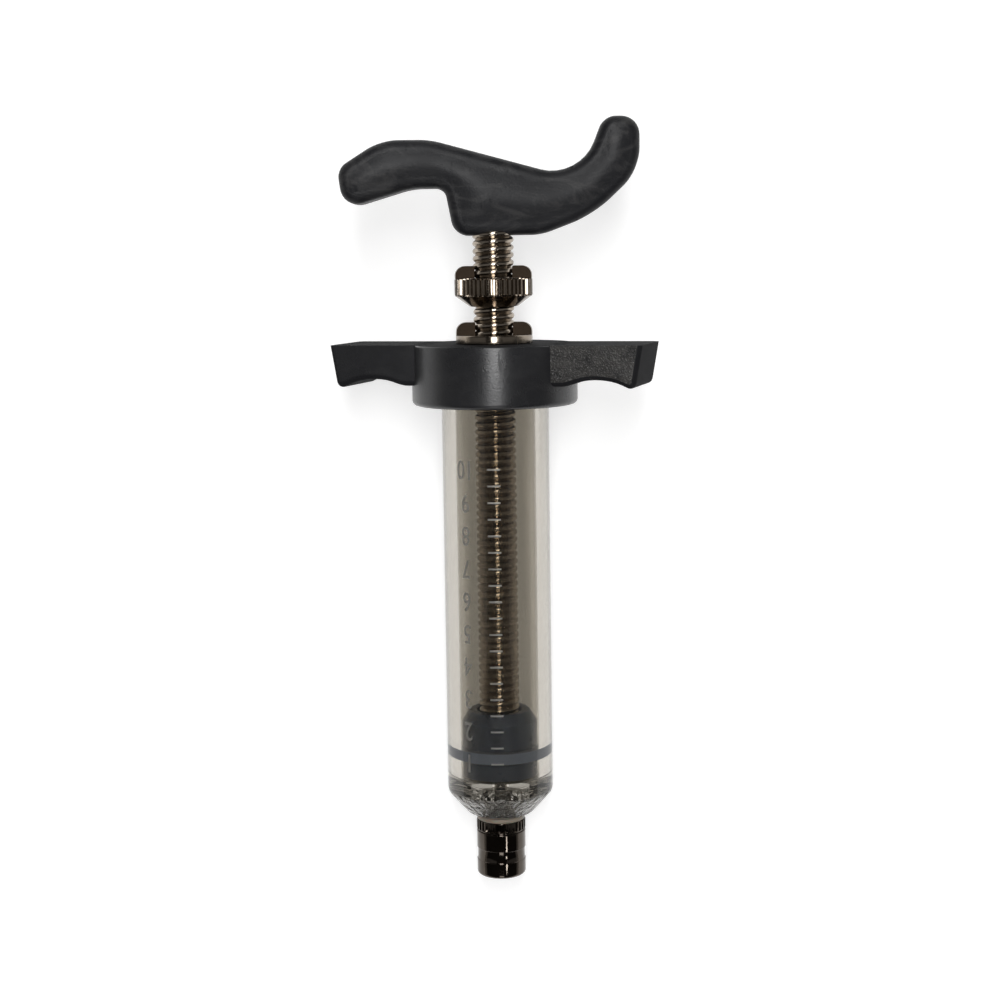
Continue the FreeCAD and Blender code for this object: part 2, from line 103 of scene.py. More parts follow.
@dataclass(frozen=True)
class Lie:
    """How the syringe lies on the table.

    Attributes:
        origin: the axis at the hub's open end, in metres.
        axis: direction of the axis towards the handle.
        wing_roll: roll of the finger flange about the axis, in degrees.
    """

    origin: Vector
    axis: Vector
    wing_roll: float = 16.018

    @classmethod
    def from_joints(cls, joints: list) -> "Lie":
        """Read the axis from the turning handle's joint.

        Args:
            joints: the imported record's joints.

        Returns:
            The lie of the syringe.
        """
        turning = next(joint for joint in joints if joint["name"] == "handle_turn")
        axis = Vector(turning["axis"]).normalized()
        joint_level = 27.0
        return cls(Vector(turning["pos_m"]) - axis * joint_level * MM, axis)

    def matrix(self, rolled: bool = False) -> Matrix:
        """Give the matrix from the syringe's millimetres to the table's metres.

        Args:
            rolled: True for the finger flange.

        Returns:
            The matrix.
        """
        across = Vector((1.0, 0.0, 0.0))
        turn = Matrix((across, self.axis.cross(across), self.axis)).transposed().to_4x4()
        roll = Matrix.Rotation(math.radians(-self.wing_roll if rolled else 0.0), 4, "Z")
        return Matrix.Translation(self.origin) @ turn @ roll @ Matrix.Scale(MM, 4)


# Mesh operators


def round_corners(bm: bmesh.types.BMesh, corners: list) -> None:
    """Draw a closed outline on the X-Z plane, as the mesh's only face, and round its corners.

    Args:
        bm: the mesh to draw in.
        corners: across, up and radius of each corner, in order.
    """
    verts = [bm.verts.new((across, 0.0, up)) for across, up, _ in corners]
    bm.faces.new(verts)
    reaches = []
    for index, (across, up, radius) in enumerate(corners):
        here = Vector((across, up))
        back = Vector(corners[index - 1][:2]) - here
        ahead = Vector(corners[(index + 1) % len(corners)][:2]) - here
        half = back.angle(ahead) / 2
        reaches.append(radius / math.tan(half) if radius > 0 else 0.0)
    for vert, reach in zip(verts, reaches):
        if reach > 0:
            segments = 3 if reach < SMALL_REACH else 8
            bmesh.ops.bevel(
                bm, geom=[vert], offset=reach, offset_type="OFFSET", segments=segments,
                profile=0.5, affect="VERTICES", material=-1,
            )


def lathe(corners: list, steps: int = 96) -> bmesh.types.BMesh:
    """Turn a closed half section about the axis.

    Args:
        corners: radius, level and rounding of each corner, in order.
        steps: facets round the axis.

    Returns:
        The turned mesh.
    """
    bm = bmesh.new()
    round_corners(bm, corners)
    bmesh.ops.delete(bm, geom=bm.faces[:], context="FACES_ONLY")
    on_axis = [edge for edge in bm.edges if all(abs(vert.co.x) < 1e-6 for vert in edge.verts)]
    bmesh.ops.delete(bm, geom=on_axis, context="EDGES")
    bmesh.ops.spin(
        bm, geom=bm.verts[:] + bm.edges[:], cent=(0, 0, 0), axis=(0, 0, 1), dvec=(0, 0, 0),
        angle=math.tau, steps=steps, use_merge=True, use_duplicate=False,
    )
    bmesh.ops.remove_doubles(bm, verts=bm.verts[:], dist=1e-4)
    bmesh.ops.recalc_face_normals(bm, faces=bm.faces[:])
    return bm


def tooth(
    bm: bmesh.types.BMesh, teeth: int, radius: float, low: float, high: float, depth: float,
) -> None:
    """Cut straight teeth in a band by sinking every second half of a tooth's facets.

    Args:
        bm: a turned mesh with FACETS_PER_TOOTH facets for each tooth.
        teeth: how many teeth.
        radius: the rim's radius.
        low: the band's lower level.
        high: the band's upper level.
        depth: how deep the teeth are.
    """
    sunk = []
    for vert in bm.verts:
        reach = math.hypot(vert.co.x, vert.co.y)
        if low - 1e-3 < vert.co.z < high + 1e-3 and reach > radius - depth:
            column = round(math.atan2(vert.co.y, vert.co.x) / math.tau * teeth * FACETS_PER_TOOTH)
            if column % FACETS_PER_TOOTH >= FACETS_PER_TOOTH // 2:
                sunk.append(vert)
    ratio = (radius - depth) / radius
    bmesh.ops.scale(bm, vec=(ratio, ratio, 1.0), verts=sunk)


def cut_away(bm: bmesh.types.BMesh, point: tuple, normal: tuple) -> None:
    """Cut the mesh at a plane, drop what lies beyond it and close the cut.

    Args:
        bm: the mesh.
        point: a point of the plane.
        normal: the direction of what is dropped.
    """
    bmesh.ops.bisect_plane(
        bm, geom=bm.verts[:] + bm.edges[:] + bm.faces[:], dist=1e-5, plane_co=point,
        plane_no=normal, clear_outer=True, clear_inner=False,
    )
    rims = [edge for edge in bm.edges if edge.is_boundary]
    bmesh.ops.holes_fill(bm, edges=rims, sides=0)


def thicken(bm: bmesh.types.BMesh, thickness: float) -> None:
    """Give an outline on the X-Z plane an equal thickness to both sides.

    Args:
        bm: the mesh, whose only face is the outline.
        thickness: the whole thickness.
    """
    bmesh.ops.translate(bm, vec=(0, -thickness / 2, 0), verts=bm.verts[:])
    grown = bmesh.ops.extrude_face_region(bm, geom=bm.faces[:])
    moved = [item for item in grown["geom"] if isinstance(item, bmesh.types.BMVert)]
    bmesh.ops.translate(bm, vec=(0, thickness, 0), verts=moved)


def add_to(bm: bmesh.types.BMesh, other: bmesh.types.BMesh) -> None:
    """Put a second mesh into the first one and free it.

    Args:
        bm: the mesh that grows.
        other: the mesh that is added.
    """
    spare = bpy.data.meshes.new("spare")
    other.to_mesh(spare)
    other.free()
    bm.from_mesh(spare)
    bpy.data.meshes.remove(spare)


def helix(
    root: float, crest: float, pitch: float, low: float, high: float, steps: int = 32,
) -> bmesh.types.BMesh:
    """Sweep a rounded thread profile up a rod and cut both ends square.

    Args:
        root: radius between the threads.
        crest: radius over the threads.
        pitch: rise of one turn.
        low: the lower end.
        high: the upper end.
        steps: facets in one turn.

    Returns:
        The threaded rod.
    """
    turn = bmesh.new()
    falling = [(height, 1.0 - share) for height, share in reversed(THREAD_FLANK)]
    verts = [
        turn.verts.new((root + height * (crest - root), 0.0, low - pitch + share * pitch))
        for height, share in [*THREAD_FLANK, *falling]
    ]
    edges = [turn.edges.new(pair) for pair in zip(verts, verts[1:])]
    bmesh.ops.spin(
        turn, geom=verts + edges, cent=(0, 0, 0), axis=(0, 0, 1), dvec=(0, 0, pitch / steps),
        angle=math.tau, steps=steps, use_merge=False, use_duplicate=False,
    )
    spare = bpy.data.meshes.new("turn")
    turn.to_mesh(spare)
    turn.free()
    bm = bmesh.new()
    for _ in range(math.ceil((high - low) / pitch) + 1):
        bm.from_mesh(spare)
        spare.transform(Matrix.Translation((0, 0, pitch)))
    bpy.data.meshes.remove(spare)
    bmesh.ops.remove_doubles(bm, verts=bm.verts[:], dist=1e-3)
    cut_away(bm, (0, 0, low), (0, 0, -1))
    cut_away(bm, (0, 0, high), (0, 0, 1))
    bmesh.ops.recalc_face_normals(bm, faces=bm.faces[:])
    return bm


# Finishes


def add_node(tree: bpy.types.NodeTree, kind: str, values: dict, **settings: str) -> bpy.types.Node:
    """Add one node to a tree.

    Args:
        tree: the tree.
        kind: the node's type.
        values: values of its input sockets, by name or number.
        settings: its own settings, such as operation.

    Returns:
        The node.
    """
    made = tree.nodes.new(kind)
    for name, value in settings.items():
        setattr(made, name, value)
    for socket, value in values.items():
        made.inputs[socket].default_value = value
    return made


def grain_group() -> bpy.types.ShaderNodeTree:
    """Build the shared group for the grain, blotches, scratches and smears of a handled surface,
    and for the painted sparkle on the grain's tops.

    Returns:
        The node group, whose outputs are the grain, the blotches and three masks.
    """
    group = bpy.data.node_groups.new("handled_surface_and_painted_sparkle", "ShaderNodeTree")
    face = group.interface
    for name, default in (("Grain Size", 1500.0), ("Blotch Size", 120.0), ("Scratch Size", 60.0)):
        socket = face.new_socket(name, in_out="INPUT", socket_type="NodeSocketFloat")
        socket.default_value = default
    for name in ("Grain", "Blotch", "Scratch", "Smear", "Painted Sparkle"):
        face.new_socket(name, in_out="OUTPUT", socket_type="NodeSocketFloat")
    given = add_node(group, "NodeGroupInput", {})
    out = add_node(group, "NodeGroupOutput", {})
    place = add_node(group, "ShaderNodeTexCoord", {})
    grain = add_node(group, "ShaderNodeTexNoise", {"Detail": 3.0})
    blotch = add_node(group, "ShaderNodeTexNoise", {"Detail": 4.0, "Roughness": 0.62})
    stretch = add_node(
        group, "ShaderNodeMapping", {"Scale": (14.0, 1.0, 14.0), "Rotation": (0.3, 0.5, 0.7)},
    )
    scratch = add_node(group, "ShaderNodeTexNoise", {"Detail": 2.0})
    cut = add_node(group, "ShaderNodeMapRange", {"From Min": 0.68, "From Max": 0.74})
    drawn = add_node(
        group, "ShaderNodeMapping", {"Scale": (1.0, 2.4, 1.6), "Rotation": (0.0, 0.2, 0.35)},
    )
    smear = add_node(
        group, "ShaderNodeTexNoise",
        {"Scale": 95.0, "Detail": 6.0, "Roughness": 0.7, "Distortion": 1.2},
    )
    rubbed = add_node(group, "ShaderNodeMapRange", {"From Min": 0.5, "From Max": 0.72})
    # Painted sparkle: the grain's tops cut out as a mask.
    sparkle_cut = add_node(group, "ShaderNodeMapRange", {"From Min": 0.56, "From Max": 0.74})
    for source, target in (
        (place.outputs["Object"], drawn.inputs["Vector"]),
        (drawn.outputs["Vector"], smear.inputs["Vector"]),
        (smear.outputs["Fac"], rubbed.inputs["Value"]),
        (rubbed.outputs["Result"], out.inputs["Smear"]),
        (place.outputs["Object"], grain.inputs["Vector"]),
        (given.outputs["Grain Size"], grain.inputs["Scale"]),
        (grain.outputs["Fac"], out.inputs["Grain"]),
        (grain.outputs["Fac"], sparkle_cut.inputs["Value"]),
        (sparkle_cut.outputs["Result"], out.inputs["Painted Sparkle"]),
        (place.outputs["Object"], blotch.inputs["Vector"]),
        (given.outputs["Blotch Size"], blotch.inputs["Scale"]),
        (blotch.outputs["Fac"], out.inputs["Blotch"]),
        (place.outputs["Object"], stretch.inputs["Vector"]),
        (stretch.outputs["Vector"], scratch.inputs["Vector"]),
        (given.outputs["Scratch Size"], scratch.inputs["Scale"]),
        (scratch.outputs["Fac"], cut.inputs["Value"]),
        (cut.outputs["Result"], out.inputs["Scratch"]),
    ):
        group.links.new(source, target)
    return group


@dataclass(frozen=True)
class Finish:
    """One finish: two colours mixed by blotches, a roughness range and a bump.

    Attributes:
        name: the material's name.
        dark: the darker colour, linear.
        light: the lighter colour, linear.
        rough_low: the least roughness.
        rough_high: the most roughness.
        metallic: 1 for metal.
        bump: strength of the fine grain.
        grain_size: scale of the grain, per metre.
        blotch_size: scale of the blotches, per metre.
        scratch: how much scratches add to the roughness.
        transmission: 1 for a clear plastic.
        subsurface: weight of light scattered inside.
        bump_depth: depth of the fine grain, in metres.
        specular: level of the clear reflection.
        smear: how much the smears lighten the colour.
        speck: how much the grain's tops lighten the colour.
    """

    name: str
    dark: tuple
    light: tuple
    rough_low: float
    rough_high: float
    metallic: float = 0.0
    bump: float = 0.05
    grain_size: float = 2500.0
    blotch_size: float = 140.0
    scratch: float = 0.0
    transmission: float = 0.0
    subsurface: float = 0.0
    bump_depth: float = 0.0002
    specular: float = 0.5
    smear: float = 0.0
    # Painted sparkle: share of pale colour on the grain's tops.
    speck: float = 0.0

    def material(self, surface: bpy.types.ShaderNodeTree) -> bpy.types.Material:
        """Build the material.

        Args:
            surface: the shared group of the handled surface and its painted sparkle.

        Returns:
            The material.
        """
        made = bpy.data.materials.new(self.name)
        made.use_nodes = True
        tree = made.node_tree
        links = tree.links
        shader = next(node for node in tree.nodes if node.type == "BSDF_PRINCIPLED")
        shader.inputs["Metallic"].default_value = self.metallic
        shader.inputs["IOR"].default_value = PLASTIC_IOR
        shader.inputs["Transmission Weight"].default_value = self.transmission
        shader.inputs["Specular IOR Level"].default_value = self.specular
        shader.inputs["Subsurface Weight"].default_value = self.subsurface
        shader.inputs["Subsurface Scale"].default_value = MM
        wear_and_sparkle = add_node(tree, "ShaderNodeGroup", {}, node_tree=surface)
        wear_and_sparkle.inputs["Grain Size"].default_value = self.grain_size
        wear_and_sparkle.inputs["Blotch Size"].default_value = self.blotch_size
        spread = add_node(tree, "ShaderNodeMapRange", {"From Min": 0.3, "From Max": 0.7})
        blend = add_node(
            tree, "ShaderNodeMix", {"A": (*self.dark, 1.0), "B": (*self.light, 1.0)},
            data_type="RGBA",
        )
        rough = add_node(tree, "ShaderNodeMapRange", {
            "From Min": 0.3, "From Max": 0.7, "To Min": self.rough_low, "To Max": self.rough_high,
        })
        marked = add_node(tree, "ShaderNodeMath", {1: self.scratch}, operation="MULTIPLY_ADD")
        bump = add_node(
            tree, "ShaderNodeBump", {"Strength": self.bump, "Distance": self.bump_depth},
        )
        links.new(wear_and_sparkle.outputs["Blotch"], spread.inputs["Value"])
        links.new(spread.outputs["Result"], blend.inputs["Factor"])
        colour = blend.outputs["Result"]
        # Pale smears, and painted sparkle on the grain's tops, lighten the colour.
        for mask, amount in (("Smear", self.smear), ("Painted Sparkle", self.speck)):
            share = add_node(tree, "ShaderNodeMath", {1: amount}, operation="MULTIPLY")
            pale = add_node(tree, "ShaderNodeMix", {"B": SMEAR_AND_SPARKLE_COLOUR}, data_type="RGBA")
            links.new(wear_and_sparkle.outputs[mask], share.inputs[0])
            links.new(share.outputs["Value"], pale.inputs["Factor"])
            links.new(colour, pale.inputs["A"])
            colour = pale.outputs["Result"]
        links.new(colour, shader.inputs["Base Color"])
        links.new(wear_and_sparkle.outputs["Blotch"], rough.inputs["Value"])
        links.new(wear_and_sparkle.outputs["Scratch"], marked.inputs[0])
        links.new(rough.outputs["Result"], marked.inputs[2])
        links.new(marked.outputs["Value"], shader.inputs["Roughness"])
        links.new(wear_and_sparkle.outputs["Grain"], bump.inputs["Height"])
        links.new(bump.outputs["Normal"], shader.inputs["Normal"])
        return made


class Finishes:
    """All finishes of the syringe, built once."""

    def __init__(self) -> None:
        """Build every material."""
        surface = grain_group()
        self.nylon = Finish(
            "charcoal_nylon", (0.008, 0.0082, 0.0095), (0.015, 0.0152, 0.017), 0.25, 0.31,
            bump=0.12, grain_size=3000.0, blotch_size=90.0, scratch=0.2, smear=0.02,
        ).material(surface)
        self.matte_nylon = Finish(
            "matte_nylon", (0.008, 0.0082, 0.0095), (0.014, 0.0142, 0.016), 0.75, 0.85,
            bump=0.12, grain_size=3000.0, blotch_size=90.0, specular=0.1,
        ).material(surface)
        self.palm_nylon = Finish(
            "smeared_nylon", (0.0065, 0.0068, 0.0085), (0.014, 0.0142, 0.016), 0.4, 0.54,
            bump=0.15, grain_size=2600.0, blotch_size=130.0, scratch=0.3, specular=0.22, smear=0.1,
        ).material(surface)
        # Right wing's broad faces: a lighter colour with painted sparkle, a painted sheen for the
        # light that falls on that wing; the grain bump is its texture.
        self.rough_nylon = Finish(
            "textured_nylon_painted_sheen", (0.008, 0.008, 0.0085), (0.03, 0.028, 0.026), 0.3, 0.45,
            bump=0.9, grain_size=3400.0, blotch_size=500.0, scratch=0.2, specular=0.3, smear=0.08,
            speck=0.3,
        ).material(surface)
        self.clear = Finish(
            "clear_barrel_plastic", (0.485, 0.46, 0.41), (0.505, 0.478, 0.428), 0.0, 0.012,
            bump=0.02, grain_size=400.0, blotch_size=60.0, transmission=1.0,
        ).material(surface)
        self.marks = Finish(
            "raised_scale_plastic", (0.4, 0.39, 0.37), (0.48, 0.468, 0.444), 0.3, 0.4,
            bump=0.1, transmission=0.72,
        ).material(surface)
        self.metal = Finish(
            "plated_metal", (0.21, 0.175, 0.14), (0.3, 0.255, 0.205), 0.1, 0.2,
            metallic=1.0, bump=0.03, blotch_size=300.0, scratch=0.15,
        ).material(surface)
        # Hub: a darker copy of the plated metal, painted shade for the dark reflections on it.
        self.hub_metal = Finish(
            "luer_metal_painted_shade", (0.065, 0.055, 0.046), (0.1, 0.086, 0.073), 0.05, 0.1,
            metallic=1.0, bump=0.02, blotch_size=300.0, scratch=0.12,
        ).material(surface)
        self.rod_metal = Finish(
            "polished_thread_metal", (0.26, 0.225, 0.185), (0.44, 0.38, 0.315), 0.09, 0.2,
            metallic=1.0, bump=0.03, blotch_size=700.0, scratch=0.1,
        ).material(surface)
        # Ears' flats: a rougher metal whose darker colour is painted shade.
        self.dull_metal = Finish(
            "ear_metal_painted_shade", (0.02, 0.014, 0.01), (0.032, 0.024, 0.017), 0.5, 0.62,
            metallic=1.0, bump=0.1, blotch_size=400.0, scratch=0.15,
        ).material(surface)
        # Shoulder of the barrel: a dark mottled tint, painted shade with painted sparkle, over a
        # bumped grain.
        self.rough_clear = Finish(
            "clear_shoulder_painted_shade", (0.006, 0.0054, 0.004), (0.19, 0.168, 0.13), 0.0, 0.03,
            bump=1.0, grain_size=950.0, blotch_size=1500.0, transmission=1.0, bump_depth=0.0018,
        ).material(surface)
        self.piston = Finish(
            "piston_plastic", (0.085, 0.11, 0.165), (0.11, 0.14, 0.205), 0.25, 0.36, bump=0.08,
        ).material(surface)
        self.seal = Finish(
            "seal_rubber", (0.165, 0.19, 0.24), (0.2, 0.23, 0.29), 0.4, 0.5, bump=0.08,
        ).material(surface)
        self.gasket = Finish(
            "beige_gasket", (0.2, 0.17, 0.13), (0.29, 0.25, 0.2), 0.35, 0.5,
            bump=0.1, subsurface=0.3,
        ).material(surface)


@dataclass
class Workshop:
    """What every sub-assembly needs to finish its pieces.

    Attributes:
        frame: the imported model's frame.
        lie: how the syringe lies.
        finishes: the materials.
    """

    frame: dict
    lie: Lie
    finishes: Finishes

    def piece(
        self, bm: bmesh.types.BMesh, name: str, body: Body,
        material: bpy.types.Material, replaces: tuple = (), rolled: bool = False,
        others: tuple = (),
    ) -> bpy.types.Object:
        """Lay a mesh in its place, dress it and put it on its body.

        Args:
            bm: the piece's mesh in the syringe's millimetres.
            name: the piece's name.
            body: the body that it rides on.
            material: the finish.
            replaces: the CAD nodes that it stands for.
            rolled: True for the finger flange.
            others: the finishes of the faces whose material index is 1 or more.

        Returns:
            The finished object.
        """
        bmesh.ops.transform(bm, matrix=self.lie.matrix(rolled), verts=bm.verts[:])
        for edge in bm.edges:
            edge.smooth = edge.is_manifold and edge.calc_face_angle(math.pi) < SHARP
        for face in bm.faces:
            face.smooth = True
        mesh = bpy.data.meshes.new(name)
        bm.to_mesh(mesh)
        bm.free()
        for finish in (material, *others):
            mesh.materials.append(finish)
        made = bpy.data.objects.new(name, mesh)
        bpy.context.scene.collection.objects.link(made)
        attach(made, body.value)
        if replaces:
            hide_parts(*replaces)
        even = made.modifiers.new("even_normals", "WEIGHTED_NORMAL")
        even.keep_sharp = True
        LOG.info("%s: %d faces on %s", name, len(mesh.polygons), body.value)
        return made

    def dress(self, node: str, material: bpy.types.Material) -> None:
        """Give a CAD node that stays its finish.

        Args:
            node: the node's name.
            material: the finish.
        """
        mesh = self.frame["nodes"][node].data
        mesh.materials.clear()
        mesh.materials.append(material)
        LOG.info("%s: stays as its CAD node", node)


# Sub-assemblies


@dataclass
class NeedleHub:
    """Metal Luer lock with its gasket."""

    radius: float = 4.55
    length: float = 10.6
    waist_foot: float = 3.0
    waist_top: float = 5.2
    waist_depth: float = 0.15
    knurl_height: float = 1.8
    knurl_depth: float = 0.28
    groove_height: float = 0.4
    groove_depth: float = 0.35
    cone_foot: float = 0.4
    cone_foot_radius: float = 1.975
    cone_root_radius: float = 2.175
    collar_radius: float = 3.6
    collar_depth: float = 7.2
    stem_radius: float = 3.5
    stem_core: float = 3.0
    stem_thread_depth: float = 0.35
    stem_pitch: float = 0.8
    stem_top: float = 17.2
    passage: float = 1.1
    teeth: int = 30
    gasket_radius: float = 4.45
    gasket_thickness: float = 0.9
    slope: float = 0.05

    def build(self, shop: Workshop) -> None:
        """Build the hub, its threaded stem and the gasket."""
        knurl_foot = self.length - self.knurl_height
        groove_foot = knurl_foot - self.groove_height
        waist = self.radius - self.waist_depth
        groove = self.radius - self.groove_depth
        bm = lathe([
            (self.passage, self.cone_foot, 0.1),
            (self.cone_foot_radius, self.cone_foot, 0.2),
            (self.cone_root_radius, self.collar_depth, 0.1),
            (self.collar_radius, self.collar_depth, 0.2),
            (self.collar_radius, 0.0, 0.15),
            (self.radius, 0.0, 0.7),
            (self.radius, self.waist_foot, 0.1),
            (waist, self.waist_foot + self.slope, 0.05),
            (waist, self.waist_top - self.slope, 0.05),
            (self.radius, self.waist_top, 0.1),
            (self.radius, groove_foot, 0.12),
            (groove, groove_foot + self.slope, 0.08),
            (groove, knurl_foot - self.slope, 0.08),
            (self.radius, knurl_foot, 0.12),
            (self.radius, self.length, 0.2),
            (self.stem_core, self.length, 0.05),
            (self.stem_core, self.stem_top, 0.1),
            (self.passage, self.stem_top, 0.1),
        ], steps=self.teeth * FACETS_PER_TOOTH)
        tooth(bm, self.teeth, self.radius, knurl_foot + 0.1, self.length - 0.1, self.knurl_depth)
        add_to(bm, helix(
            self.stem_radius - self.stem_thread_depth, self.stem_radius, self.stem_pitch,
            self.length + 0.3, self.stem_top - 0.2,
        ))
        # The hub wears the darker copy of the plated metal, painted shade.
        shop.piece(
            bm, "luer_hub", Body.BARREL, shop.finishes.hub_metal, ("needle_hub",),
        )
        gasket_bore = self.stem_radius + 0.05
        gasket_top = self.length + self.gasket_thickness
        gasket = lathe([
            (gasket_bore, self.length, 0.1),
            (self.gasket_radius, self.length, 0.25),
            (self.gasket_radius, gasket_top, 0.25),
            (gasket_bore, gasket_top, 0.1),
        ])
        shop.piece(
            gasket, "hub_seal_ring", Body.BARREL, shop.finishes.gasket,
            ("hub_gasket",),
        )


@dataclass
class Barrel:
    """Clear tube with its shoulder and its raised scale."""

    foot: float = 11.5
    foot_radius: float = 4.6
    step_radius: float = 6.2
    step_height: float = 0.75
    radius: float = 9.8
    bore: float = 7.3
    shoulder: float = 4.9
    floor: float = 19.2
    outlet: float = 1.1
    outlet_length: float = 1.7
    top: float = 96.0
    collar: float = 10.6
    collar_height: float = 5.1
    stem_hole: float = 3.55
    zero_level: float = 17.5
    one_millilitre: float = 5.973
    last_mark: int = 10
    relief: float = 0.16
    tick_low: float = -1.6
    tick_high: float = 0.7
    tick_width: float = 0.28
    figure_across: float = -5.95
    font_size: float = 4.9
    figure_width: float = 0.72

    def build(self, shop: Workshop) -> None:
        """Build the tube and the scale."""
        outlet_foot = self.floor - self.outlet_length
        collar_foot = self.top - self.collar_height
        bm = lathe([
            (self.stem_hole, self.foot, 0.1),
            (self.foot_radius, self.foot, 0.25),
            (self.step_radius, self.foot + self.step_height, 1.2),
            (self.radius, self.foot + self.shoulder - 0.1, 1.8),
            (self.radius, collar_foot, 0.1),
            (self.collar, collar_foot, 0.2),
            (self.collar, self.top, 0.2),
            (self.bore, self.top, 0.2),
            (self.bore, self.floor, 0.3),
            (self.outlet, self.floor, 0.15),
            (self.outlet, outlet_foot, 0.1),
            (self.stem_hole, outlet_foot, 0.2),
        ], steps=160)
        rough_top = self.foot + self.shoulder + 0.3
        # Faces of the shoulder take the dark mottled tint, painted shade with painted sparkle.
        for face in bm.faces:
            face.material_index = 1 if face.calc_center_median().z < rough_top else 0
        shop.piece(
            bm, "clear_barrel", Body.BARREL, shop.finishes.clear, ("barrel",),
            others=(shop.finishes.rough_clear,),
        )
        self.scale(shop)

    def bend(self, bm: bmesh.types.BMesh) -> None:
        """Wrap a flat drawing on the barrel, its X round the barrel and its Y along the axis.

        Args:
            bm: the flat drawing, raised along Z, whose X is 0 on the side that faces up.
        """
        for vert in bm.verts:
            angle = vert.co.x / self.radius
            reach = self.radius + vert.co.z
            vert.co = Vector((reach * math.sin(angle), -reach * math.cos(angle), vert.co.y))

    def tick(self, level: float) -> bmesh.types.BMesh:
        """Draw one raised line round the barrel.

        Args:
            level: its place along the axis.

        Returns:
            The flat line, raised along Z.
        """
        bm = bmesh.new()
        bmesh.ops.create_cube(bm, size=1.0)
        size = (self.tick_high - self.tick_low, self.tick_width, self.relief)
        bmesh.ops.scale(bm, vec=size, verts=bm.verts[:])
        along = [edge for edge in bm.edges if abs(edge.verts[0].co.x - edge.verts[1].co.x) > 0.1]
        bmesh.ops.subdivide_edges(bm, edges=along, cuts=6, use_grid_fill=True)
        middle = (self.tick_low + self.tick_high) / 2
        bmesh.ops.translate(bm, vec=(middle, level, 0.0), verts=bm.verts[:])
        return bm

    def number(self, text: str, level: float) -> bmesh.types.BMesh:
        """Draw one raised number that stands upright when the needle points up.

        Args:
            text: the number.
            level: its middle, along the axis.

        Returns:
            The flat number, raised along Z.
        """
        curve = bpy.data.curves.new("figure", "FONT")
        curve.body = text
        curve.size = self.font_size
        curve.extrude = self.relief / 2
        curve.align_x = "CENTER"
        curve.align_y = "CENTER"
        spare = bpy.data.objects.new("figure", curve)
        bpy.context.scene.collection.objects.link(spare)
        drawn = spare.evaluated_get(bpy.context.evaluated_depsgraph_get())
        mesh = bpy.data.meshes.new_from_object(drawn)
        bpy.data.objects.remove(spare)
        bpy.data.curves.remove(curve)
        bm = bmesh.new()
        bm.from_mesh(mesh)
        bpy.data.meshes.remove(mesh)
        bmesh.ops.scale(bm, vec=(-self.figure_width, -1.0, 1.0), verts=bm.verts[:])
        bmesh.ops.translate(bm, vec=(self.figure_across, level, 0.0), verts=bm.verts[:])
        return bm

    def scale(self, shop: Workshop) -> None:
        """Build the ticks and numbers from 1 to the last mark."""
        whole = bmesh.new()
        for mark in range(1, self.last_mark + 1):
            level = self.zero_level + mark * self.one_millilitre
            add_to(whole, self.tick(level))
            if mark < self.last_mark:
                add_to(whole, self.tick(level + self.one_millilitre / 2))
            add_to(whole, self.number(str(mark), level))
        self.bend(whole)
        shop.piece(whole, "raised_scale", Body.BARREL, shop.finishes.marks)


@dataclass
class FingerFlange:
    """Charcoal cap with two finger wings."""

    ring_radius: float = 15.05
    bottom: float = 88.2
    top: float = 99.2
    web_foot: float = 97.0
    bore: float = 10.65
    spigot_hole: float = 5.05
    buried_end: float = 11.2
    half_span: float = 28.9
    slant: float = 1.4
    thickness: float = 16.56
    root_height: float = 7.3
    arch_height: float = 5.3
    tip_height: float = 8.1
    rounding: float = 1.1
    crisp_band: float = 0.6

    def wing(self, side: float) -> bmesh.types.BMesh:
        """Build one wing, whose inner end is buried in the ring.

        Args:
            side: 1 for the right wing, -1 for the left.

        Returns:
            The wing.
        """
        foot = self.half_span - self.slant
        reach = foot - self.ring_radius
        bm = bmesh.new()
        round_corners(bm, [
            (side * self.buried_end, self.top - self.root_height, 0.0),
            (side * self.ring_radius, self.top - self.root_height, reach * 0.4),
            (side * (self.ring_radius + reach / 2), self.top - self.arch_height, reach * 0.85),
            (side * foot, self.top - self.tip_height, 1.2),
            (side * self.half_span, self.top, 0.0),
            (side * self.buried_end, self.top, 0.0),
        ])
        thicken(bm, self.thickness)
        bmesh.ops.recalc_face_normals(bm, faces=bm.faces[:])
        rim = [
            edge for edge in bm.edges
            if abs(edge.verts[0].co.y - edge.verts[1].co.y) < 1e-4
            and edge.calc_face_angle(0.0) > RIM_ANGLE
            and abs(edge.verts[0].co.x + edge.verts[1].co.x) > self.buried_end * 2.2
            and min(edge.verts[0].co.z, edge.verts[1].co.z) < self.top - self.crisp_band
        ]
        bmesh.ops.bevel(
            bm, geom=rim, offset=self.rounding, offset_type="OFFSET", segments=5, profile=0.5,
            affect="EDGES", material=-1,
        )
        for face in bm.faces:
            if abs(face.normal.y) < FACING:
                face.material_index = 2
            # The right wing's broad faces take the lighter nylon, a painted sheen.
            elif side > 0 and abs(face.normal.y) > BROADSIDE:
                face.material_index = 1
        return bm

    def build(self, shop: Workshop) -> None:
        """Build the cap with its wings and dress its gasket."""
        bm = lathe([
            (self.bore, self.bottom, 0.3),
            (self.ring_radius, self.bottom, 0.9),
            (self.ring_radius, self.top, 0.35),
            (self.spigot_hole, self.top, 0.15),
            (self.spigot_hole, self.web_foot, 0.15),
            (self.bore, self.web_foot, 0.3),
        ], steps=144)
        for face in bm.faces:
            face.material_index = 2 if abs(face.normal.z) > FACING else 0
        add_to(bm, self.wing(1.0))
        add_to(bm, self.wing(-1.0))
        bmesh.ops.recalc_face_normals(bm, faces=bm.faces[:])
        shop.piece(
            bm, "winged_cap", Body.BARREL, shop.finishes.nylon, ("finger_flange",),
            rolled=True, others=(shop.finishes.rough_nylon, shop.finishes.matte_nylon),
        )
        shop.dress("cap_gasket", shop.finishes.gasket)


